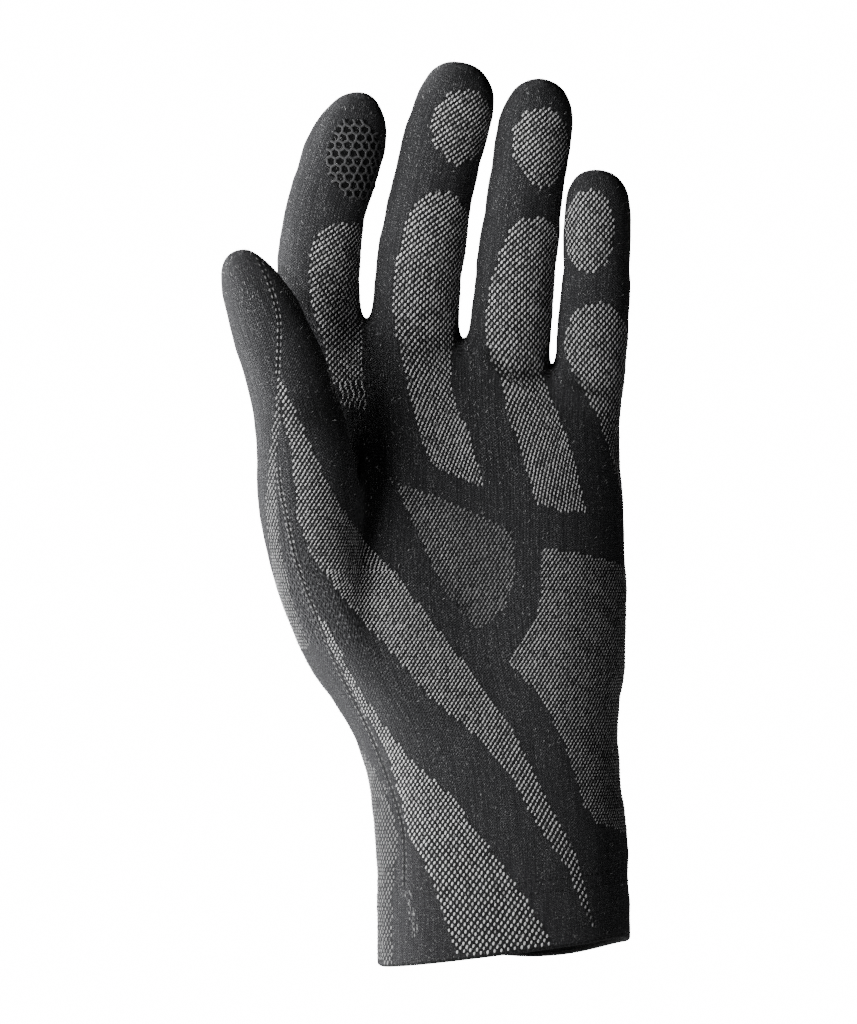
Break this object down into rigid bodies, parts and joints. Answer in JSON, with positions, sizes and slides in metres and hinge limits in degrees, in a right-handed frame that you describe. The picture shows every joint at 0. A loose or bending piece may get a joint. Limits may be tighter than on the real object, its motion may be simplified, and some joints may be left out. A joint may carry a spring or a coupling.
{
  "type": "glove liner",
  "caption": "Thin knitted glove liner for the left hand, charcoal with pale body-mapped mesh zones, full fingers and a plain stitched cuff.",
  "frame": {"origin": "middle of the cuff's mouth, where the hand goes in", "axes": "+Z from the cuff to the fingertips, -Y the palm side, +Y the back of the hand, -X the thumb side"},
  "size_m": [0.1132, 0.0716, 0.2515],
  "materials": {
    "hand_knit": "matt fine knit",
    "stall_knit": "matt fine knit",
    "hem_knit": "matt fine knit, double"
  },
  "bodies": {
    "root": {"palm": "hand_knit", "index_stall": "stall_knit", "middle_stall": "stall_knit", "ring_stall": "stall_knit", "little_stall": "stall_knit", "thumb_stall": "stall_knit", "wrist_cuff": "hand_knit", "cuff_hem": "hem_knit"}
  },
  "joints": []
}
